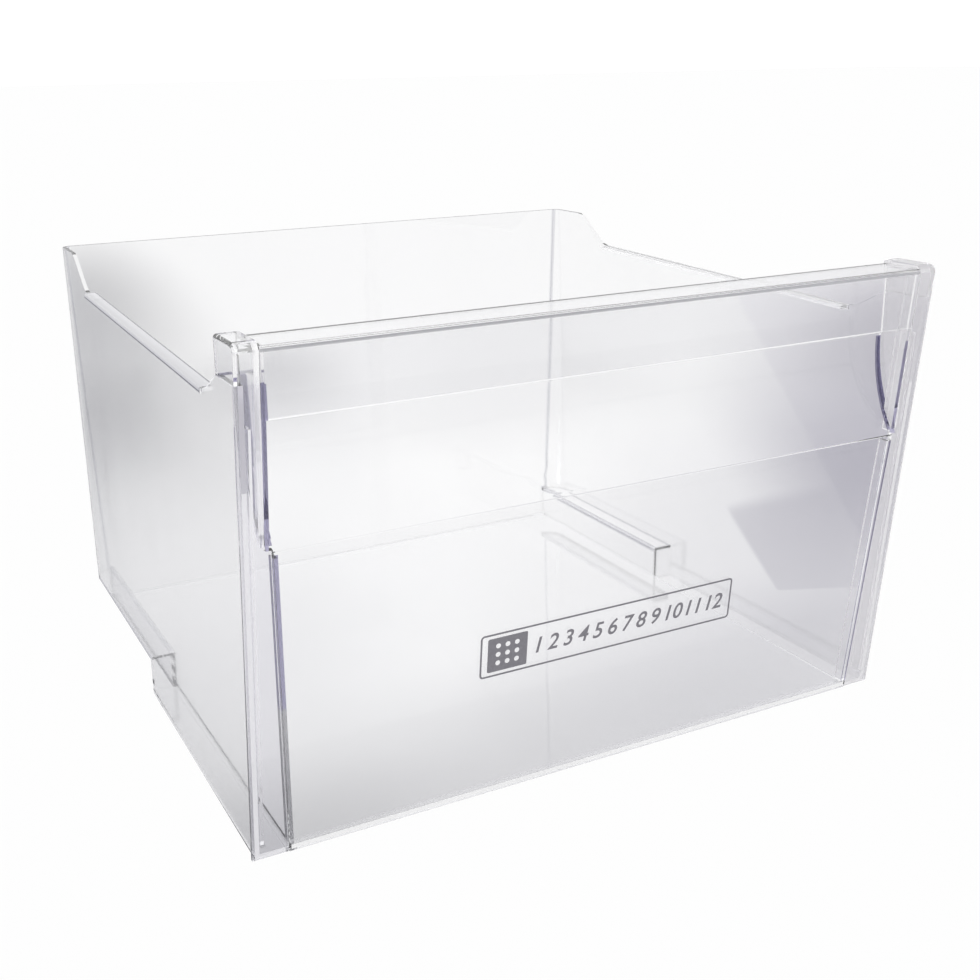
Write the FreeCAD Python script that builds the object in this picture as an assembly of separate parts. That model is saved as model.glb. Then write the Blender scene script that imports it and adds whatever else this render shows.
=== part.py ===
import FreeCAD, Part
import math
import os

V = FreeCAD.Vector

# ---------------------------------------------------------------- driving sizes, mm
# Y is measured here from the foot of the front; every shape is moved back by
# Y_CENTRE at the end, so the origin is the middle of the base.
WALL = 2.5               # wall of the tub and of the front panel
HALF_FOOT = 209.0        # outer half width of the tub at the front foot
DRAFT = 0.001            # side wall leans out, mm per mm of height
PLAN_TAPER = 0.009       # side wall closes in towards the back, mm per mm of depth
BACK_Y = 377.5           # outer face of the back wall at the floor
BACK_LEAN = 0.0138       # back wall leans out, mm per mm of height
BACK_TOP = 271.8         # top of the back wall and of the rear tabs
REAR_R_LOW = 15.0        # vertical corner radius at the floor
REAR_R_HIGH = 6.5        # and at the top
TAB_FRONT = 340.0        # rear tab: level from the back wall to here
RAMP_FRONT = 308.0       # and sloping down to the rim here
RIM_Z0 = 241.9           # rim height at the front foot line
RIM_RISE = 0.0262         # the rim climbs towards the back
RISE_START = 42.0        # in front of the flange the wall's edge turns up
RISE_END = 6.0
RISE_Z = 257.0
FLANGE_IN = 201.0        # inner edge of the rim flange, which turns inwards
FLANGE_T = 2.2
LIP_H = 3.1              # height of the rim's outer edge
LIP_OUT = 0.5            # and how far it stands off the wall
FLOOR_TOP = 4.5
FLOOR_UNDER = 2.0
NOTCH_W = 18.5           # rail step cut from the rear lower corners
NOTCH_H = 24.5
NOTCH_Y = 210.0          # the step starts here and runs out at the back
STEP_X = 192.2           # line of the rail step, and of the floor's raised middle

FRONT_Z = 274.5          # top of the front rail
LEAN = 0.0903            # end caps and lip lean forward, mm per mm of height
STRIP_Y0 = 2.6           # front face of the end caps at the foot
PANEL_LEAN = 0.0945      # the lower panel leans a little more
PANEL_Y0 = 1.0           # front face of the lower panel at the foot
LIP_PROUD = 0.3          # lip face in front of the cap face
LIP_BOTTOM = 240.0       # free edge of the grip lip
RAIL_BACK = 6.1          # rear face of the grip wall
GRIP_STRAIGHT = 232.0    # grip wall is upright down to here
GRIP_R = 97.9            # then curves forward with this radius
CREASE_Z = 174.0
PANEL_HALF_TOP = 199.4   # half width of rail, lip and grip
PANEL_HALF_CREASE = 196.0
PANEL_HALF_FOOT = 190.5
RETURN_DEPTH = 8.5       # side returns of the panel, full height
RETURN_T = 2.4

CAP_Z = 276.5
CAP_T = 2.2
CAP_OUT_FOOT = 210.8
CAP_OUT_DRAFT = 0.0035
CAP_IN = 199.7
CAP_BLOCK_Z = 257.0      # underside of the boxed top of a cap

Y_CENTRE = (381.25 - 22.45) / 2.0


# ---------------------------------------------------------------- small helpers
def poly_face(pts):
    return Part.Face(Part.makePolygon(pts + [pts[0]]))


def yz_prism(yz, x0, x1):
    """Closed outline in Y and Z, extruded from x0 to x1."""
    f = poly_face([V(x0, y, z) for y, z in yz])
    return f.extrude(V(x1 - x0, 0, 0))


def xz_prism(xz, y0, y1):
    f = poly_face([V(x, y0, z) for x, z in xz])
    return f.extrude(V(0, y1 - y0, 0))


def box(x0, x1, y0, y1, z0, z1):
    return Part.makeBox(x1 - x0, y1 - y0, z1 - z0, V(x0, y0, z0))


def mirror_x(s):
    return s.mirror(V(0, 0, 0), V(1, 0, 0))


def biggest(s):
    solids = s.Solids
    return max(solids, key=lambda q: q.Volume)


def half_outer(y, z):
    return HALF_FOOT + DRAFT * z - PLAN_TAPER * y


def tub_wire(z, inset, y_front):
    """Plan outline of the tub at height z, rounded at the two rear corners."""
    yb = BACK_Y + BACK_LEAN * z - inset
    t = z / BACK_TOP
    r = REAR_R_LOW + (REAR_R_HIGH - REAR_R_LOW) * t - inset
    xf = half_outer(y_front, z) - inset
    xb = half_outer(yb, z) - inset
    # tangent points of the corner between the tapered side and the back
    a = math.atan(PLAN_TAPER)
    cx = xb - r * (1.0 + math.sin(a)) / math.cos(a) + 0.0
    cy = yb - r
    # centre sits r from the side line and r from the back line
    cx = half_outer(cy, z) - inset - r / math.cos(a)
    ty = cy + r * math.sin(a)
    tx = cx + r * math.cos(a)
    mid = math.radians(45) + a / 2.0
    mx, my = cx + r * math.cos(mid), cy + r * math.sin(mid)
    e = [Part.LineSegment(V(-xf, y_front, z), V(xf, y_front, z)).toShape(),
         Part.LineSegment(V(xf, y_front, z), V(tx, ty, z)).toShape(),
         Part.Arc(V(tx, ty, z), V(mx, my, z), V(cx, yb, z)).toShape(),
         Part.LineSegment(V(cx, yb, z), V(-cx, yb, z)).toShape(),
         Part.Arc(V(-cx, yb, z), V(-mx, my, z), V(-tx, ty, z)).toShape(),
         Part.LineSegment(V(-tx, ty, z), V(-xf, y_front, z)).toShape()]
    return Part.Wire(e)


def rim_z(y):
    return RIM_Z0 + RIM_RISE * y


def rim_path():
    """Side view of the wall's top edge, from the back to the front."""
    p = [(400.0, BACK_TOP), (TAB_FRONT + 5, BACK_TOP)]
    # rounded shoulder of the tab, ramp, rounded foot of the ramp
    p += [(TAB_FRONT, BACK_TOP - 0.7), (TAB_FRONT - 4, BACK_TOP - 3.0)]
    zr = rim_z(RAMP_FRONT)
    p += [(RAMP_FRONT + 6, zr + 3.6), (RAMP_FRONT + 1, zr + 1.0), (RAMP_FRONT - 5, rim_z(RAMP_FRONT - 5))]
    z0 = rim_z(RISE_START)
    n = 8
    for i in range(n + 1):
        t = i / n
        y = RISE_START + (RISE_END - RISE_START) * t
        s = t * t * (3 - 2 * t)
        p.append((y, z0 + (RISE_Z - z0) * s))
    p.append((-40.0, RISE_Z))
    return p


# ---------------------------------------------------------------- tub
def make_tub():
    yf = -40.0
    outer = Part.makeLoft([tub_wire(0, 0, yf), tub_wire(BACK_TOP, 0, yf)], True, True)
    cav = Part.makeLoft([tub_wire(0, WALL, yf), tub_wire(BACK_TOP, WALL, yf)], True, True)
    # inside of the tub: raised middle of the floor, deeper side channels in front
    middle = box(-400, 400, -60, 500, -5, FLOOR_TOP)
    cav_main = cav.cut(middle)
    inx = STEP_X - WALL
    for s in (1, -1):
        ch = box(inx, 260, -60, NOTCH_Y - WALL, WALL, FLOOR_TOP + 1)
        led = box(inx, 260, NOTCH_Y - WALL, 500, -5, NOTCH_H + WALL)
        ch2 = cav.common(ch if s > 0 else mirror_x(ch))
        cav_main = cav_main.fuse(ch2)
        cav_main = cav_main.cut(led if s > 0 else mirror_x(led))
    cav_main = cav_main.removeSplitter()
    tub = outer.cut(cav_main)
    # rail steps at the rear lower corners
    for s in (1, -1):
        n = box(STEP_X, 260, NOTCH_Y, 500, -5, NOTCH_H)
        tub = tub.cut(n if s > 0 else mirror_x(n))
    # shallow recess under the floor, so that it stands on its edges
    tub = tub.cut(box(-STEP_X, STEP_X, -60, BACK_Y - WALL - 1.0, -5, FLOOR_UNDER))
    # top edge of the side walls
    top = [(y, z) for y, z in rim_path() if y < 400]
    path = rim_path()
    above = [(y, z) for y, z in path if y <= TAB_FRONT + 5] + [(-40.0, 400.0), (TAB_FRONT + 5, 400.0)]
    tub = tub.cut(yz_prism(above, -300, 300))
    # rim flange, along the straight run of the wall's top edge
    y0, y1 = RISE_START, RAMP_FRONT - 4
    z0 = rim_z(y0)
    w = half_outer(y0, z0)
    sec = [(FLANGE_IN, z0 - 0.5), (FLANGE_IN + 0.5, z0), (w + LIP_OUT - 0.6, z0), (w + LIP_OUT, z0 - 0.6),
           (w + LIP_OUT, z0 - LIP_H + 0.4), (w + LIP_OUT - 0.4, z0 - LIP_H), (w - WALL + 0.5, z0 - LIP_H),
           (w - WALL - 0.6, z0 - FLANGE_T), (FLANGE_IN, z0 - FLANGE_T)]
    fl = poly_face([V(x, y0, z) for x, z in sec]).extrude(
        V(-0.5 * PLAN_TAPER * (y1 - y0), y1 - y0, RIM_RISE * (y1 - y0)))
    tub = tub.fuse(fl).fuse(mirror_x(fl))
    # front ends: the side walls stop behind the end caps
    yc = STRIP_Y0 + CAP_T + 0.1
    front = [(-80.0, -20.0), (yc + LEAN * 20, -20.0), (yc - LEAN * 300, 300.0), (-80.0, 300.0)]
    tub = tub.cut(yz_prism(front, -300, 300))
    # the floor's front tongue reaches the panel
    tub = tub.fuse(box(-PANEL_HALF_FOOT + 0.6, PANEL_HALF_FOOT - 0.6, 1.1, 6.0, FLOOR_UNDER, FLOOR_TOP))
    tub = biggest(tub.removeSplitter())
    return tub


# ---------------------------------------------------------------- front panel
def face_y(z, off=0.0):
    return PANEL_Y0 + off - PANEL_LEAN * z


def lip_y(z, off=0.0):
    return STRIP_Y0 - LIP_PROUD + off - LEAN * z


def grip_centre():
    return (RAIL_BACK - WALL - GRIP_R, GRIP_STRAIGHT)


def arc_hit(r, off):
    """Where the grip's arc of radius r meets the lower panel's plane."""
    cy, cz = grip_centre()
    # plane y = b - LEAN z
    b = face_y(0, off)
    a2 = 1 + PANEL_LEAN * PANEL_LEAN
    b2 = -2 * PANEL_LEAN * (b - cy) - 2 * cz
    c2 = (b - cy) ** 2 + cz * cz - r * r
    z = (-b2 - math.sqrt(b2 * b2 - 4 * a2 * c2)) / (2 * a2)
    return (b - PANEL_LEAN * z, z)


def arc_mid(r, p, q):
    cy, cz = grip_centre()
    a0 = math.atan2(p[1] - cz, p[0] - cy)
    a1 = math.atan2(q[1] - cz, q[0] - cy)
    a = 0.5 * (a0 + a1)
    return (cy + r * math.cos(a), cz + r * math.sin(a))


def make_panel():
    t = WALL
    lip_top_y = lip_y(FRONT_Z)
    lip_bot_y = lip_y(LIP_BOTTOM)
    fy = RAIL_BACK - t
    hit_f = arc_hit(GRIP_R, 0.0)
    hit_r = arc_hit(GRIP_R + t, t)
    mf = arc_mid(GRIP_R, (fy, GRIP_STRAIGHT), hit_f)
    mr = arc_mid(GRIP_R + t, (RAIL_BACK, GRIP_STRAIGHT), hit_r)
    x = -PANEL_HALF_TOP

    def P(p):
        return V(x, p[0], p[1])

    r = 1.6
    seq = []

    def line(a, b):
        seq.append(Part.LineSegment(P(a), P(b)).toShape())

    def arc(a, m, b):
        seq.append(Part.Arc(P(a), P(m), P(b)).toShape())

    # outside: lip face, rounded top front edge, rail top, rounded rear edge, rear face
    a = (lip_bot_y, LIP_BOTTOM)
    b = (lip_top_y + r * LEAN, FRONT_Z - r)
    c = (lip_top_y + r, FRONT_Z)
    line(a, b)
    arc(b, (lip_top_y + r * 0.33, FRONT_Z - r * 0.3), c)
    d = (RAIL_BACK - r, FRONT_Z)
    line(c, d)
    e = (RAIL_BACK, FRONT_Z - r)
    arc(d, (RAIL_BACK - r * 0.293, FRONT_Z - r * 0.293), e)
    f = (RAIL_BACK, GRIP_STRAIGHT)
    line(e, f)
    arc(f, mr, hit_r)
    g = (face_y(0, t), 0.0)
    line(hit_r, g)
    rf = 1.5
    h = (face_y(0) + rf, 0.0)
    h2 = (face_y(rf), rf)
    line(g, h)
    arc(h, (face_y(0) + rf * 0.29, rf * 0.29), h2)
    line(h2, hit_f)
    i = (fy, GRIP_STRAIGHT)
    arc(hit_f, mf, i)
    j = (fy, FRONT_Z - t)
    line(i, j)
    k = (lip_top_y + t, FRONT_Z - t)
    line(j, k)
    m = (lip_bot_y + t, LIP_BOTTOM)
    line(k, m)
    # rounded free edge of the lip
    arc(m, (lip_bot_y + t / 2.0, LIP_BOTTOM - t * 0.42), a)
    wire = Part.Wire(Part.__sortEdges__(seq))
    prof = Part.Face(wire)
    body = prof.extrude(V(2 * PANEL_HALF_TOP, 0, 0))
    # side returns of the lower panel, a shallow tray
    zt = hit_r[1] - 3.0
    z0 = FLOOR_TOP + 0.4
    ret = [(face_y(z0, t - 0.3), z0), (face_y(z0, RETURN_DEPTH), z0),
           (face_y(zt, RETURN_DEPTH), zt), (face_y(zt, t - 0.3), zt)]
    rets = yz_prism(ret, -PANEL_HALF_TOP, PANEL_HALF_TOP)
    wz = lambda z: PANEL_HALF_FOOT + (PANEL_HALF_CREASE - PANEL_HALF_FOOT) * z / CREASE_Z
    inner = [(-wz(-10) + RETURN_T, -10), (wz(-10) - RETURN_T, -10),
             (wz(190) - RETURN_T, 190), (-wz(190) + RETURN_T, 190)]
    rets = rets.cut(xz_prism(inner, -60, 60))
    body = body.fuse(rets)
    # and their upper part, closing the ends of the lip and rail
    za, zb = hit_r[1] - 4.0, FRONT_Z - t + 0.4
    up = [(lip_y(za, 0.4), za), (lip_y(za, RETURN_DEPTH), za),
          (lip_y(zb, RETURN_DEPTH), zb), (lip_y(zb, 0.4), zb)]
    up = yz_prism(up, PANEL_HALF_TOP - RETURN_T, PANEL_HALF_TOP)
    body = body.fuse(up).fuse(mirror_x(up))
    for s in (1, -1):
        side = [(wz(-10), -10), (260, -10), (260, CREASE_Z + 1.0), (wz(CREASE_Z), CREASE_Z + 1.0)]
        side = xz_prism(side, -60, 60)
        body = body.cut(side if s > 0 else mirror_x(side))
    # tongue under the floor's front edge
    body = body.fuse(box(-186.0, 186.0, face_y(0, t) - 0.5, 8.0, 0.0, FLOOR_UNDER - 0.15))
    return biggest(body.removeSplitter())


# ---------------------------------------------------------------- end caps
def strip_y(z, off=0.0):
    return STRIP_Y0 + off - LEAN * z


def cap_out(z):
    return CAP_OUT_FOOT + CAP_OUT_DRAFT * z


def make_cap():
    """Right-hand cap: front strip, inner web, boxed top."""
    gap = 0.25
    r = 5.0
    # front strip, with its top edge rounded back
    zt = CAP_Z
    outer_prof = [(strip_y(0), 0.0), (strip_y(0, CAP_T), 0.0), (strip_y(zt - 3, CAP_T), zt - 3),
                  (strip_y(zt - r), zt - r)]
    strip = yz_prism(outer_prof, CAP_IN - 20, 230)
    # side view of the boxed top: outline with a rounded front top corner
    yb = RAIL_BACK
    pts = []
    n = 6
    for i in range(n + 1):
        a = math.radians(90.0 * i / n)
        cy, cz = strip_y(zt - r) + r, zt - r
        pts.append((cy - r * math.cos(a), cz + r * math.sin(a)))
    block = [(yb, CAP_BLOCK_Z), (strip_y(CAP_BLOCK_Z), CAP_BLOCK_Z)] + pts + [(yb - 0.8, zt), (yb, zt - 0.8)]
    blk = yz_prism(block, CAP_IN, 230)
    yi0 = yb - CAP_T
    inner_pts = [(yi0, CAP_BLOCK_Z - 5), (strip_y(CAP_BLOCK_Z - 5, CAP_T), CAP_BLOCK_Z - 5),
                 (strip_y(zt - r, CAP_T), zt - r), (strip_y(zt - r, CAP_T) + r - CAP_T, zt - CAP_T),
                 (yi0, zt - CAP_T)]
    hollow = yz_prism(inner_pts, CAP_IN + CAP_T, cap_out(zt) - CAP_T)
    # inner web, closing the end of the grip
    cy, cz = grip_centre()
    rw = GRIP_R + WALL
    arcp = []
    for i in range(13):
        a = math.radians(-36.0 * i / 12)
        y, z = cy + rw * math.cos(a), cz + rw * math.sin(a)
        if y > strip_y(z, CAP_T + 0.6) and z > CREASE_Z + 3:
            arcp.append((y, z))
    ze = arcp[-1][1] - 1.5
    web = [(yb, CAP_BLOCK_Z + 6)] + arcp
    web += [(strip_y(ze, CAP_T - 0.4), ze), (strip_y(ze, 0.4), ze),
            (strip_y(CAP_BLOCK_Z + 6, 0.4), CAP_BLOCK_Z + 6)]
    web = yz_prism(web, CAP_IN, CAP_IN + CAP_T)
    # locating rib, just inside the tub's wall
    rib = [(strip_y(8, CAP_T - 0.3), 8), (strip_y(8, CAP_T + 7), 8),
           (strip_y(236, CAP_T + 7), 236), (strip_y(236, CAP_T - 0.3), 236)]
    rib = yz_prism(rib, 204.0, 206.0)
    cap = strip.fuse(blk).cut(hollow).fuse(web).fuse(rib)
    # inner edge of the strip: follows the panel with a small gap
    wz = lambda z: PANEL_HALF_FOOT + (PANEL_HALF_CREASE - PANEL_HALF_FOOT) * z / CREASE_Z + gap
    cut = [(0, -10), (wz(-10), -10), (wz(CREASE_Z), CREASE_Z + 0.8), (CAP_IN, CREASE_Z + 0.8), (CAP_IN, 300), (0, 300)]
    cap = cap.cut(xz_prism(cut, -80, 80))
    # outer side plane
    out = [(cap_out(-10), -10), (300, -10), (300, 300), (cap_out(300), 300)]
    cap = cap.cut(xz_prism(out, -80, 80))
    cap = biggest(cap.removeSplitter())
    # softened outer top edge, then the other edges of the top
    cap = fillet_some(cap, 1.9, lambda e: e.CenterOfMass.z > CAP_Z - 0.3 and e.CenterOfMass.x > 211.0)
    return fillet_some(cap, 0.5, lambda e: e.CenterOfMass.z > CAP_Z - 0.9 and e.CenterOfMass.x < 209.5
                       and e.Length > 4.0)


def fillet_some(s, radius, keep):
    """Round the edges that keep(edge) picks, one by one where a group fails."""
    es = [e for e in s.Edges if keep(e)]
    if not es:
        return s
    try:
        r = s.makeFillet(radius, es)
        if r.isValid() and r.Volume > 0:
            return r
    except Exception:
        pass
    for e0 in es:
        m = e0.CenterOfMass
        try:
            cand = min(s.Edges, key=lambda q: (q.CenterOfMass - m).Length)
            if (cand.CenterOfMass - m).Length > 0.5:
                continue
            r = s.makeFillet(radius, [cand])
            if r.isValid() and r.Volume > 0:
                s = r
        except Exception:
            continue
    return s


def main():
    os.makedirs("parts", exist_ok=True)
    tub = make_tub()
    panel = make_panel()
    cap_r = make_cap()
    cap_l = mirror_x(cap_r)
    shapes = {"drawer_tub": tub, "front_panel": panel,
              "end_cap_left": cap_l, "end_cap_right": cap_r}
    for name, s in shapes.items():
        s = s.copy()
        s.translate(V(0, -Y_CENTRE, 0))
        if s.ShapeType != "Solid":
            s = biggest(s)
        bb = s.BoundBox
        print("%-16s valid %s solids %d vol %.1f cm3  x %.2f..%.2f y %.2f..%.2f z %.2f..%.2f" % (
            name, s.isValid(), len(s.Solids), s.Volume / 1000.0,
            bb.XMin, bb.XMax, bb.YMin, bb.YMax, bb.ZMin, bb.ZMax))
        s.exportStep("parts/%s.step" % name)


main()
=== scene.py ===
"""Looks of a clear plastic freezer drawer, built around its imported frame."""

import math

import bmesh
import bpy
from mathutils import Matrix, Vector


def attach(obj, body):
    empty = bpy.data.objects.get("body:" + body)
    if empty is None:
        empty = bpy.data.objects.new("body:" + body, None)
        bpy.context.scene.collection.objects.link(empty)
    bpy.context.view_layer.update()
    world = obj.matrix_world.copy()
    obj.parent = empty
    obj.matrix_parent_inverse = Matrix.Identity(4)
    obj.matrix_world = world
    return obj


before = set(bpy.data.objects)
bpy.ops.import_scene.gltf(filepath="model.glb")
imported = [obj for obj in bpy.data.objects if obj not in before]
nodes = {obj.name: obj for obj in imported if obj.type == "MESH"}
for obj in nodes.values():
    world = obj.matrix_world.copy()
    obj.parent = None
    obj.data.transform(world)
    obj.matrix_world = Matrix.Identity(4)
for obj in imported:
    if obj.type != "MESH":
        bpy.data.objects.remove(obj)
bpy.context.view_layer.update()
scene = bpy.context.scene


# ---------------------------------------------------------------- node helpers
class Tree:
    """Small wrapper that adds and links shader nodes."""

    def __init__(self, name):
        self.mat = bpy.data.materials.new(name)
        self.mat.use_nodes = True
        self.nt = self.mat.node_tree
        self.nt.nodes.clear()
        self.out = self.nt.nodes.new("ShaderNodeOutputMaterial")

    def add(self, kind, **kw):
        n = self.nt.nodes.new("ShaderNode" + kind)
        for k, v in kw.items():
            setattr(n, k, v)
        return n

    def link(self, a, b):
        self.nt.links.new(a, b)

    def coords(self):
        return self.add("TexCoord").outputs["Object"]

    def noise(self, vec, scale, detail=3.0, rough=0.5, stretch=None):
        if stretch:
            m = self.add("Mapping")
            m.inputs["Scale"].default_value = stretch
            self.link(vec, m.inputs["Vector"])
            vec = m.outputs["Vector"]
        n = self.add("TexNoise")
        n.inputs["Scale"].default_value = scale
        n.inputs["Detail"].default_value = detail
        n.inputs["Roughness"].default_value = rough
        self.link(vec, n.inputs["Vector"])
        return n.outputs["Fac"]

    def ramp(self, fac, stops):
        r = self.add("ValToRGB")
        el = r.color_ramp.elements
        while len(el) < len(stops):
            el.new(0.5)
        for e, (p, c) in zip(el, stops):
            e.position = p
            e.color = (c, c, c, 1) if not hasattr(c, "__len__") else (*c, 1)
        self.link(fac, r.inputs["Fac"])
        return r.outputs["Color"]

    def math(self, op, a, b):
        m = self.add("Math", operation=op)
        for i, v in enumerate((a, b)):
            if isinstance(v, (int, float)):
                m.inputs[i].default_value = v
            else:
                self.link(v, m.inputs[i])
        return m.outputs[0]

    def bump(self, height, strength, distance):
        b = self.add("Bump")
        b.inputs["Strength"].default_value = strength
        b.inputs["Distance"].default_value = distance
        self.link(height, b.inputs["Height"])
        return b.outputs["Normal"]


def clear_plastic(name, tint, rough=0.03, flow=0.35, ior=1.5):
    """Clear moulded plastic: faint flow lines from the gates, hairline scuffs, a slight tint."""
    t = Tree(name)
    p = t.add("BsdfPrincipled")
    p.inputs["IOR"].default_value = ior
    p.inputs["Transmission Weight"].default_value = 1.0
    co = t.coords()
    # tint varies very slightly, as the wall thickness does
    n1 = t.noise(co, 6.0, 2.0, 0.5, (1.0, 1.0, 0.5))
    col = t.ramp(n1, [(0.3, tuple(c * 0.975 for c in tint)), (0.7, tint)])
    t.link(col, p.inputs["Base Color"])
    # roughness: glossy, with a few faint rubbed streaks
    n2 = t.noise(co, 40.0, 4.0, 0.6, (1.0, 1.0, 0.12))
    rgh = t.ramp(n2, [(0.45, rough), (0.75, rough * 2.6)])
    t.link(rgh, p.inputs["Roughness"])
    # moulding flow: long shallow waves
    n3 = t.noise(co, 9.0, 1.5, 0.5)
    t.link(t.bump(n3, flow, 0.0006), p.inputs["Normal"])
    t.link(p.outputs["BSDF"], t.out.inputs["Surface"])
    return t.mat


def front_width(t, z):
    """Half width of the front panel at a point's height, metres."""
    low = t.math("ADD", t.math("MULTIPLY", z, 0.0055 / 0.174), 0.1905)
    high = t.math("ADD", t.math("MULTIPLY", t.math("SUBTRACT", z, 0.174), 0.0034 / 0.1005), 0.196)
    return t.math("MAXIMUM", low, high)


TUB = (0.968, 0.968, 0.973)
FRONT = (0.971, 0.971, 0.976)
CAPS = (0.865, 0.86, 0.89)
mat_tub = clear_plastic("clear_tub_plastic", TUB, 0.02)
mat_front = clear_plastic("clear_front_plastic", FRONT, 0.02)
mat_caps = clear_plastic("clear_cap_plastic", CAPS, 0.03)



def reopen(mat):
    """Tree over a material that clear_plastic made, with its shader, position and true normal."""
    t = Tree.__new__(Tree)
    t.mat, t.nt = mat, mat.node_tree
    prin = next(n for n in t.nt.nodes if n.type == "BSDF_PRINCIPLED")
    pos = t.add("SeparateXYZ")
    t.link(t.coords(), pos.inputs[0])
    nrm = t.add("SeparateXYZ")
    t.link(t.add("NewGeometry").outputs["True Normal"], nrm.inputs[0])
    return t, prin, pos.outputs, nrm.outputs


def both(t, *conds):
    m = conds[0]
    for c in conds[1:]:
        m = t.math("MULTIPLY", m, c)
    return m


# mixes a flat colour into the base colour under a mask; below it paints shade into the clear walls: dark lines
# standing in for refraction at edges, and darker or lighter colouring between parts
def paint_shading(t, prin, mask, colour):
    base = prin.inputs["Base Color"].links[0].from_socket
    mx = t.add("Mix", data_type="RGBA")
    t.link(mask, mx.inputs["Factor"])
    t.link(base, mx.inputs[6])
    mx.inputs[7].default_value = (*colour, 1)
    t.link(mx.outputs[2], prin.inputs["Base Color"])


def frost(t, prin, mask, amount=0.8):
    """Cut edges let light out: milky there instead of clear."""
    inv = t.math("SUBTRACT", 1.0, t.math("MULTIPLY", mask, amount))
    t.link(inv, prin.inputs["Transmission Weight"])


def any_of(t, *conds):
    m = conds[0]
    for c in conds[1:]:
        m = t.math("MAXIMUM", m, c)
    return m


def inside(t, v, low, high):
    return both(t, t.math("GREATER_THAN", v, low), t.math("LESS_THAN", v, high))


def shifted(t, v, other, k, c):
    """v + k * other + c"""
    return t.math("ADD", t.math("ADD", v, t.math("MULTIPLY", other, k)), c)


# painted shade: the back edges of the front panel's side returns and of the grip's ends are painted dark violet,
# and dark grey low on the left, standing in for the dark refraction along these edges
t, prin, pos, nrm = reopen(mat_front)
x, y, z = pos["X"], pos["Y"], pos["Z"]
edge = t.math("SUBTRACT", t.math("ABSOLUTE", x, 0.0), front_width(t, z))
behind = shifted(t, y, z, 0.0945, 0.1784)
end_on = t.math("LESS_THAN", t.math("ABSOLUTE", nrm["X"], 0.0), 0.5)
left, right = t.math("LESS_THAN", x, 0.0), t.math("GREATER_THAN", x, 0.0)
low = t.math("LESS_THAN", z, 0.172)
m_left = both(t, left, low, t.math("GREATER_THAN", edge, -0.0026), t.math("GREATER_THAN", behind, 0.0022))
m_wedge = both(t, left, inside(t, z, 0.212, 0.2565), t.math("GREATER_THAN", edge, -0.0026), end_on,
               t.math("GREATER_THAN", behind, 0.0045))
m_curve = both(t, inside(t, z, 0.172, 0.231), t.math("GREATER_THAN", edge, -0.0008), t.math("LESS_THAN", nrm["Y"], -0.3),
               any_of(t, t.math("GREATER_THAN", behind, 0.0100), both(t, t.math("LESS_THAN", z, 0.187), t.math("GREATER_THAN", behind, 0.0045))))
m_end = both(t, left, inside(t, z, 0.172, 0.212), t.math("GREATER_THAN", edge, -0.0008), end_on,
             t.math("GREATER_THAN", behind, 0.0045))
m_right = both(t, right, low, t.math("GREATER_THAN", edge, -0.0013), end_on, t.math("GREATER_THAN", behind, 0.0045))
paint_shading(t, prin, any_of(t, m_left, m_wedge, m_curve, m_end, m_right), (0.12, 0.11, 0.22))
paint_shading(t, prin, both(t, m_left, t.math("LESS_THAN", z, 0.085)), (0.20, 0.20, 0.22))
# the rail's front edge and the foot let light out: both are made milky, and the rail's front edge also gets a
# painted grey shade line
m_rail = both(t, inside(t, z, 0.2716, 0.2733), t.math("LESS_THAN", shifted(t, y, z, 0.0903, 0.1771), 0.0004))
paint_shading(t, prin, m_rail, (0.42, 0.42, 0.44))
frost(t, prin, any_of(t, m_rail, both(t, t.math("LESS_THAN", z, 0.0022), t.math("LESS_THAN", nrm["Z"], -0.5))))

# the tub: milky front edges, painted grey shade along their upper front, a milky rim painted darker on the left
# than on the right as painted shade, with painted dark shade borders on the left, and painted grey shade lines in
# the rear corners and along the rail steps
t, prin, pos, nrm = reopen(mat_tub)
x, y, z = pos["X"], pos["Y"], pos["Z"]
absx = t.math("ABSOLUTE", x, 0.0)
left = t.math("LESS_THAN", x, 0.0)
ahead = both(t, t.math("LESS_THAN", nrm["Y"], -0.3), t.math("LESS_THAN", y, 0.190),
             any_of(t, t.math("GREATER_THAN", z, 0.03), t.math("LESS_THAN", y, -0.16)))
ahead = t.math("SUBTRACT", ahead, both(t, ahead, t.math("GREATER_THAN", x, 0.0), t.math("GREATER_THAN", z, 0.2),
                                       inside(t, y, -0.16, 0.05)))
# painted shade: the upper front edges are painted grey
paint_shading(t, prin, both(t, ahead, t.math("GREATER_THAN", z, 0.205), t.math("LESS_THAN", y, -0.16)), (0.62, 0.61, 0.65))
under_rim = shifted(t, z, y, -0.0262, -(0.2419 + 0.0262 * 0.1794))
m_rim = both(t, inside(t, y, -0.136, 0.1255), t.math("GREATER_THAN", under_rim, -0.0034),
             t.math("GREATER_THAN", absx, 0.1990))
# painted shade: the left rim is painted grey, darker than the right one
paint_shading(t, prin, both(t, m_rim, left), (0.64, 0.64, 0.67))
# painted shade: dark lines along the left rim's inner and outer borders
inner_border = t.math("LESS_THAN", shifted(t, absx, y, 0.0045, 0.0045 * 0.1374), 0.2010 + 0.0013)
outer_border = both(t, t.math("LESS_THAN", under_rim, -0.0018), t.math("GREATER_THAN", absx, 0.2036))
paint_shading(t, prin, both(t, m_rim, left, any_of(t, inner_border, outer_border)), (0.19, 0.19, 0.22))
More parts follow.
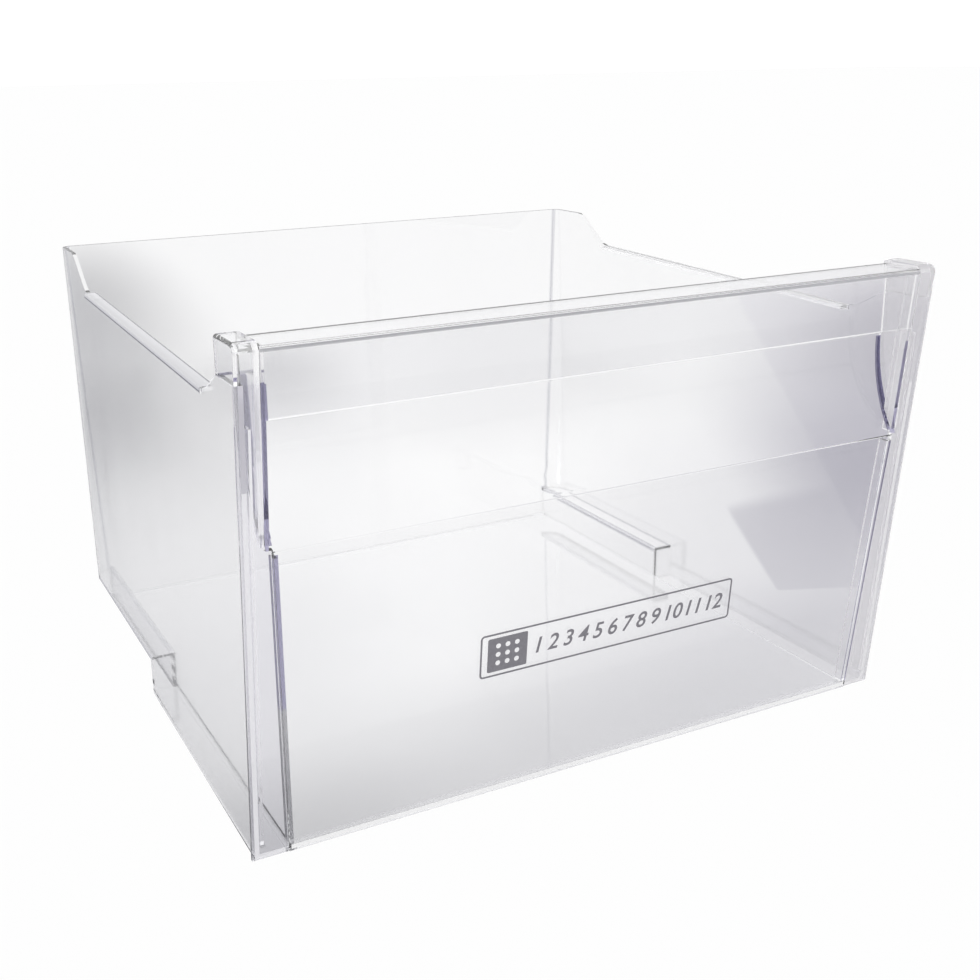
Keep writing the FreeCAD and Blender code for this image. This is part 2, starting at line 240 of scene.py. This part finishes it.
# painted shade: grey lines in the rear corners and along the rail steps stand in for the dark refraction there
corner = t.math("SUBTRACT", absx, t.math("ADD", t.math("MULTIPLY", z, 0.03218), 0.1906))
m_corner = both(t, t.math("GREATER_THAN", y, 0.180), t.math("GREATER_THAN", z, 0.0265), inside(t, corner, 0.0013, 0.0031))
paint_shading(t, prin, m_corner, (0.62, 0.62, 0.66))
m_step = both(t, t.math("GREATER_THAN", y, 0.0300),
              any_of(t, both(t, inside(t, z, 0.0240, 0.0262), t.math("GREATER_THAN", absx, 0.2030)),
                     both(t, inside(t, z, 0.0235, 0.0275), inside(t, absx, 0.1896, 0.1926))))
paint_shading(t, prin, m_step, (0.56, 0.56, 0.60))
# the right rim is painted a lighter grey than the left; the difference between the sides is painted shade
paint_shading(t, prin, both(t, m_rim, t.math("GREATER_THAN", x, 0.0)), (0.80, 0.80, 0.81))
frost(t, prin, any_of(t, ahead, t.math("MULTIPLY", m_rim, t.math("ADD", t.math("MULTIPLY", left, 0.6), 0.4))))

# the caps: the left cap's boxed top gets a clearer tint than its strip; the right cap is painted darker and made a
# little milky, painted shade the left cap doesn't get;
# a grey line is painted low on both caps; a painted dark violet shade line runs along the back of the left box's
# underside and a painted dark violet shade wedge lies on the web behind the strip
t, prin, pos, nrm = reopen(mat_caps)
x, y, z = pos["X"], pos["Y"], pos["Z"]
left, right = t.math("LESS_THAN", x, 0.0), t.math("GREATER_THAN", x, 0.0)
paint_shading(t, prin, both(t, left, t.math("GREATER_THAN", z, 0.2572)), (0.965, 0.965, 0.97))
# painted shade: the right cap is painted darker than the left
paint_shading(t, prin, right, (0.69, 0.685, 0.70))
paint_shading(t, prin, both(t, inside(t, z, 0.0070, 0.0086), inside(t, t.math("ABSOLUTE", x, 0.0), 0.2035, 0.2065)), (0.6, 0.6, 0.62))
# painted shade: a dark violet line under the back of the left box and a dark violet wedge on the web stand in for
# the dark refraction there
paint_shading(t, prin, both(t, left, t.math("GREATER_THAN", y, 0.0061 - 0.1794 - 0.0024), inside(t, z, 0.2565, 0.2580),
                    t.math("LESS_THAN", x, -0.2025)), (0.11, 0.10, 0.20))
paint_shading(t, prin, both(t, left, inside(t, x, -0.2024, -0.1990), inside(t, z, 0.207, 0.2565),
                    t.math("GREATER_THAN", nrm["Y"], 0.4)), (0.10, 0.09, 0.19))
frost(t, prin, right, 0.22)

for n, m in (("drawer_tub", mat_tub), ("front_panel", mat_front),
             ("end_cap_left", mat_caps), ("end_cap_right", mat_caps)):
    o = nodes[n]
    o.data.materials.clear()
    o.data.materials.append(m)
    o.visible_shadow = False
    o.visible_diffuse = False


# ---------------------------------------------------------------- printed marks
# a plain frame, a block with nine round holes and the numbers 1 to 12, in dark ink on the lower panel
def ink():
    t = Tree("dark_ink")
    p = t.add("BsdfPrincipled")
    co = t.coords()
    n = t.noise(co, 900.0, 3.0, 0.6)
    t.link(t.ramp(n, [(0.3, (0.155, 0.15, 0.17)), (0.75, (0.205, 0.20, 0.22))]), p.inputs["Base Color"])
    t.link(t.ramp(t.noise(co, 250.0, 2.0, 0.5), [(0.3, 0.42), (0.8, 0.6)]), p.inputs["Roughness"])
    t.link(t.bump(t.noise(co, 1500.0, 2.0, 0.5), 0.15, 0.00002), p.inputs["Normal"])
    t.link(p.outputs["BSDF"], t.out.inputs["Surface"])
    return t.mat


INK = ink()
SLOPE = 0.0945
v_dir = Vector((0, -SLOPE, 1)).normalized()
n_dir = Vector((1, 0, 0)).cross(v_dir)


def on_panel(x, z, off=0.00012):
    """Matrix that lays a flat drawing on the lower panel's face, its origin at x, z."""
    at = Vector((x, 0.001 - SLOPE * z - 0.1794, z)) + n_dir * off
    m = Matrix((Vector((1, 0, 0)), v_dir, n_dir)).transposed().to_4x4()
    m.translation = at
    return m


def flat_piece(name, data, x, z):
    tmp = bpy.data.objects.new(name + "_tmp", data)
    scene.collection.objects.link(tmp)
    bpy.context.view_layer.update()
    me = bpy.data.meshes.new_from_object(tmp.evaluated_get(bpy.context.evaluated_depsgraph_get()))
    bpy.data.objects.remove(tmp)
    me.transform(on_panel(x, z))
    bm = bmesh.new()
    bm.from_mesh(me)
    bmesh.ops.remove_doubles(bm, verts=bm.verts, dist=2e-6)
    bmesh.ops.recalc_face_normals(bm, faces=bm.faces)
    bm.to_mesh(me)
    bm.free()
    me.name = name
    me.materials.clear()
    me.materials.append(INK)
    o = bpy.data.objects.new(name, me)
    scene.collection.objects.link(o)
    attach(o, "root")
    o.visible_shadow = False
    o.visible_diffuse = False
    return o


def outline(loops, thick=0.00004):
    """Flat drawing with nested closed loops: each inner loop cuts a hole."""
    cu = bpy.data.curves.new("drawing", "CURVE")
    cu.dimensions = "2D"
    cu.fill_mode = "BOTH"
    cu.extrude = thick
    for pts in loops:
        sp = cu.splines.new("POLY")
        sp.points.add(len(pts) - 1)
        for q, (x, y) in zip(sp.points, pts):
            q.co = (x, y, 0, 1)
        sp.use_cyclic_u = True
    return cu


def round_rect(w, h, r, k=8):
    pts = []
    for cx, cy, a0 in ((w / 2 - r, h / 2 - r, 0), (-w / 2 + r, h / 2 - r, 90),
                       (-w / 2 + r, -h / 2 + r, 180), (w / 2 - r, -h / 2 + r, 270)):
        for i in range(k + 1):
            a = math.radians(a0 + 90 * i / k)
            pts.append((cx + r * math.cos(a), cy + r * math.sin(a)))
    return pts


def circle(r, k=48, cx=0.0, cy=0.0):
    return [(cx + r * math.cos(2 * math.pi * i / k), cy + r * math.sin(2 * math.pi * i / k)) for i in range(k)]


flat_piece("mark_frame", outline([round_rect(0.1675, 0.0263, 0.0024), round_rect(0.1653, 0.0241, 0.0013)]),
           0.00175, 0.0889)
flat_piece("mark_block", outline([round_rect(0.0245, 0.0205, 0.001)]
                                 + [circle(0.0015, 24, 0.0058 * i, 0.0052 * j)
                                    for i in (-1, 0, 1) for j in (-1, 0, 1)]),
           -0.0652, 0.0889)
for i in range(12):
    tx = bpy.data.curves.new("number", "FONT")
    tx.body = str(i + 1)
    tx.size = 0.0135
    tx.shear = 0.22
    tx.offset = 0.00016
    tx.extrude = 0.00004
    tx.align_x = "CENTER"
    tx.align_y = "BOTTOM_BASELINE"
    tx.resolution_u = 6
    flat_piece("mark_number_%02d" % (i + 1), tx,
               -0.0465 + 0.0097 * i + 0.0025 * max(0, i - 8) + 0.0022 * max(0, i - 9), 0.0842)


# ---------------------------------------------------------------- stage
def quad(name, x0, x1, y0, y1, z, mat, **seen):
    bm = bmesh.new()
    bm.faces.new([bm.verts.new((x, y, z)) for x, y in ((x0, y0), (x1, y0), (x1, y1), (x0, y1))])
    me = bpy.data.meshes.new(name)
    bm.to_mesh(me)
    bm.free()
    me.materials.append(mat)
    o = bpy.data.objects.new(name, me)
    scene.collection.objects.link(o)
    for k in ("camera", "diffuse", "glossy", "transmission", "shadow"):
        setattr(o, "visible_" + k, seen.get(k, False))
    return o


def blob(t, co, cx, cy, az, half_l, half_w):
    """Soft elliptical spot: 1 at its middle, 0 outside; its long axis points az degrees from +y to +x."""
    m = t.add("Mapping", vector_type="TEXTURE")
    m.inputs["Location"].default_value = (cx, cy, 0)
    m.inputs["Rotation"].default_value = (0, 0, -math.radians(az))
    m.inputs["Scale"].default_value = (half_w, half_l, 1)
    t.link(co, m.inputs["Vector"])
    flat = t.add("VectorMath", operation="MULTIPLY")
    flat.inputs[1].default_value = (1, 1, 0)
    t.link(m.outputs["Vector"], flat.inputs[0])
    g = t.add("TexGradient", gradient_type="SPHERICAL")
    t.link(flat.outputs["Vector"], g.inputs["Vector"])
    r = t.add("MapRange", interpolation_type="SMOOTHSTEP")
    t.link(g.outputs["Fac"], r.inputs["Value"])
    return r.outputs["Result"]


t = Tree("pale_floor_paint")
d = t.add("BsdfDiffuse")
d.inputs["Color"].default_value = (0.9, 0.9, 0.9, 1)
t.link(d.outputs["BSDF"], t.out.inputs["Surface"])
quad("pale_floor", -30, 30, -30, 30, -0.0004, t.mat, camera=True, diffuse=True, transmission=True)

# painted shade and painted light that only rays through the clear walls see: a floor card with soft painted grey
# shadow patches beside and under the drawer and two slightly lighter painted light patches
t = Tree("floor_painted_shading")
d = t.add("BsdfDiffuse")
co = t.coords()
painted_shading = None
at = t.add("SeparateXYZ")
t.link(co, at.inputs[0])


def past(kx, ky, c, soft):
    """0 on one side of the floor line kx x + ky y = c, 1 on the other."""
    v = t.math("ADD", t.math("MULTIPLY", at.outputs["X"], kx), t.math("MULTIPLY", at.outputs["Y"], ky))
    r = t.add("MapRange", interpolation_type="SMOOTHSTEP")
    r.inputs["From Min"].default_value = c - soft
    r.inputs["From Max"].default_value = c + soft
    t.link(v, r.inputs["Value"])
    return r.outputs["Result"]


# the painted shade patch at the right has straight edges to its left and in front
far = past(0.0, 1.0, 0.135, 0.02)
crisp = t.math("MULTIPLY", past(0.8856, -0.4645, 0.2461, 0.004), t.math("SUBTRACT", 1.0, far))
soft = t.math("MULTIPLY", past(0.8856, -0.4645, 0.2800, 0.11), far)
patch = t.math("MULTIPLY", t.math("ADD", crisp, soft), past(0.4027, 0.9153, 0.0734, 0.004))
fade = t.math("ADD", t.math("MULTIPLY", past(0.0, 1.0, -0.035, 0.065), -0.5), 0.9)
patch = t.math("MAXIMUM", patch, fade)
# a faint lilac painted shade beyond this line
beyond = past(0.8268, -0.5627, 0.3195, 0.003)
for cx, cy, az, hl, hw, c in (
        (0.043, 1.43, 11.0, 1.40, 0.25, (0.58, 0.58, 0.59)),
        (-0.078, 0.77, 10.0, 0.38, 0.13, (0.65, 0.65, 0.66)),
        (0.59, 0.20, 52.0, 1.10, 0.30, (0.48, 0.47, 0.53)),
        (1.18, 0.68, 52.0, 0.70, 0.36, (0.62, 0.61, 0.65)),
        (-0.13, 0.05, 20.0, 0.30, 0.14, (0.855, 0.855, 0.865)),
        (-0.05, -0.16, 90.0, 0.42, 0.16, (0.78, 0.78, 0.79)),
        (-0.20, -0.18, 90.0, 0.18, 0.11, (0.69, 0.69, 0.70)),
        (0.16, 0.82, 20.0, 0.35, 0.14, (0.74, 0.74, 0.75)),
        (0.16, 0.40, 20.0, 0.30, 0.08, (1.04, 1.04, 1.035)),
        (0.26, 0.36, 27.0, 0.30, 0.12, (1.06, 1.06, 1.055))):
    f = blob(t, co, cx, cy, az, hl, hw)
    if cx == 0.59:
        f = t.math("MULTIPLY", f, patch)
    mx = t.add("Mix", data_type="RGBA")
    t.link(f, mx.inputs["Factor"])
    mx.inputs[6].default_value = (1, 1, 1, 1)
    mx.inputs[7].default_value = (*c, 1)
    if painted_shading is None:
        painted_shading = mx.outputs[2]
    else:
        mm = t.add("Mix", data_type="RGBA", blend_type="MULTIPLY")
        mm.inputs["Factor"].default_value = 1.0
        t.link(painted_shading, mm.inputs[6])
        t.link(mx.outputs[2], mm.inputs[7])
        painted_shading = mm.outputs[2]
mm = t.add("Mix", data_type="RGBA", blend_type="MULTIPLY")
mm.inputs["Factor"].default_value = 1.0
t.link(painted_shading, mm.inputs[6])
mm.inputs[7].default_value = (0.9, 0.9, 0.9, 1)
mx = t.add("Mix", data_type="RGBA", blend_type="MULTIPLY")
t.link(beyond, mx.inputs["Factor"])
t.link(mm.outputs[2], mx.inputs[6])
mx.inputs[7].default_value = (0.93, 0.925, 0.945, 1)
t.link(mx.outputs[2], d.inputs["Color"])
t.link(d.outputs["BSDF"], t.out.inputs["Surface"])
quad("floor_shading_card", -3, 3, -3, 3, -0.0002, t.mat, transmission=True)


def glow(name, x0, x1, y0, y1, z, spots):
    """Soft light patch that only the gloss sees; spots are (cx, cy, az, half_l, half_w, strength)."""
    t = Tree(name + "_light")
    co = t.coords()
    total = None
    for cx, cy, az, hl, hw, k in spots:
        v = t.math("MULTIPLY", blob(t, co, cx, cy, az, hl, hw), k)
        total = v if total is None else t.math("ADD", total, v)
    e = t.add("Emission")
    t.link(total, e.inputs["Strength"])
    tr = t.add("BsdfTransparent")
    a = t.add("AddShader")
    t.link(e.outputs[0], a.inputs[0])
    t.link(tr.outputs[0], a.inputs[1])
    t.link(a.outputs[0], t.out.inputs["Surface"])
    t.mat.cycles.emission_sampling = "NONE"
    return quad(name, x0, x1, y0, y1, z, t.mat, glossy=True)


glow("low_light", -2, 2, -2.2, -0.81, -0.5, [(0.15, -1.15, 90.0, 1.10, 0.75, 0.7)])

glow("side_light", -2, 0, 0, 3, -0.5, [(-0.60, 1.30, 0.0, 1.10, 0.35, 0.3)])

# soft studio surroundings: a white sweep all round, which the gloss sees as a dim room
w = bpy.data.worlds.new("studio")
scene.world = w
w.use_nodes = True
nt = w.node_tree
nt.nodes.clear()
out = nt.nodes.new("ShaderNodeOutputWorld")
white = nt.nodes.new("ShaderNodeBackground")
white.inputs["Color"].default_value = (1, 1, 1, 1)
white.inputs["Strength"].default_value = 1.1
room = nt.nodes.new("ShaderNodeBackground")
tc = nt.nodes.new("ShaderNodeTexCoord")
sep = nt.nodes.new("ShaderNodeSeparateXYZ")
nt.links.new(tc.outputs["Generated"], sep.inputs[0])
mr = nt.nodes.new("ShaderNodeMapRange")
mr.inputs["From Min"].default_value = -1
mr.inputs["From Max"].default_value = 1
nt.links.new(sep.outputs["Z"], mr.inputs["Value"])
rmp = nt.nodes.new("ShaderNodeValToRGB")
nt.links.new(mr.outputs["Result"], rmp.inputs["Fac"])
e = rmp.color_ramp.elements
while len(e) < 6:
    e.new(0.5)
for el, (z, c) in zip(e, ((-1, (0.30, 0.30, 0.32)), (-0.45, (0.32, 0.32, 0.35)), (-0.3, (0.34, 0.34, 0.37)),
                          (0, (0.45, 0.45, 0.48)), (0.25, (1.1, 1.1, 1.1)), (1, (1.6, 1.6, 1.6)))):
    el.position, el.color = (z + 1) / 2, (*c, 1)
nt.links.new(rmp.outputs["Color"], room.inputs["Color"])
lp = nt.nodes.new("ShaderNodeLightPath")
# what the clear walls let through above the horizon is the white sweep itself
above = nt.nodes.new("ShaderNodeMapRange")
above.inputs["From Min"].default_value = -0.02
above.inputs["From Max"].default_value = 0.05
nt.links.new(sep.outputs["Z"], above.inputs["Value"])
through = nt.nodes.new("ShaderNodeMath")
through.operation = "MULTIPLY"
nt.links.new(lp.outputs["Is Transmission Ray"], through.inputs[0])
nt.links.new(above.outputs["Result"], through.inputs[1])
seen = nt.nodes.new("ShaderNodeMixShader")
nt.links.new(through.outputs[0], seen.inputs[0])
nt.links.new(room.outputs[0], seen.inputs[1])
nt.links.new(white.outputs[0], seen.inputs[2])
mix = nt.nodes.new("ShaderNodeMixShader")
nt.links.new(lp.outputs["Is Glossy Ray"], mix.inputs[0])
nt.links.new(white.outputs[0], mix.inputs[1])
nt.links.new(seen.outputs[0], mix.inputs[2])
nt.links.new(mix.outputs[0], out.inputs["Surface"])

# ---------------------------------------------------------------- camera
# solved from the photograph: position and axes in the part's frame, metres
YC = 0.1794
f_px, cx_px, cy_px, W = 1280.0, 440.0, 450.0, 980.0
loc = Vector((-0.3772, -0.5513 - YC, 0.3935))
right = Vector((0.89109, -0.45354, -0.01609))
up = Vector((0.14581, 0.25255, 0.95653))
fwd = Vector((0.42977, 0.85470, -0.29118))
cam_d = bpy.data.cameras.new("camera")
cam = bpy.data.objects.new("camera", cam_d)
scene.collection.objects.link(cam)
cam_d.sensor_width = 36.0
cam_d.sensor_fit = "HORIZONTAL"
cam_d.lens = f_px / W * 36.0
cam_d.shift_x = (W / 2 - cx_px) / W
cam_d.shift_y = (cy_px - W / 2) / W
cam_d.clip_start, cam_d.clip_end = 0.01, 100
m = Matrix((right, up, -fwd)).transposed().to_4x4()
m.translation = loc
cam.matrix_world = m
scene.camera = cam

# ---------------------------------------------------------------- picture
scene.view_settings.view_transform = "Standard"
scene.cycles.max_bounces = 24
scene.cycles.transmission_bounces = 24
scene.cycles.glossy_bounces = 12
scene.cycles.transparent_max_bounces = 24
scene.cycles.caustics_reflective = False
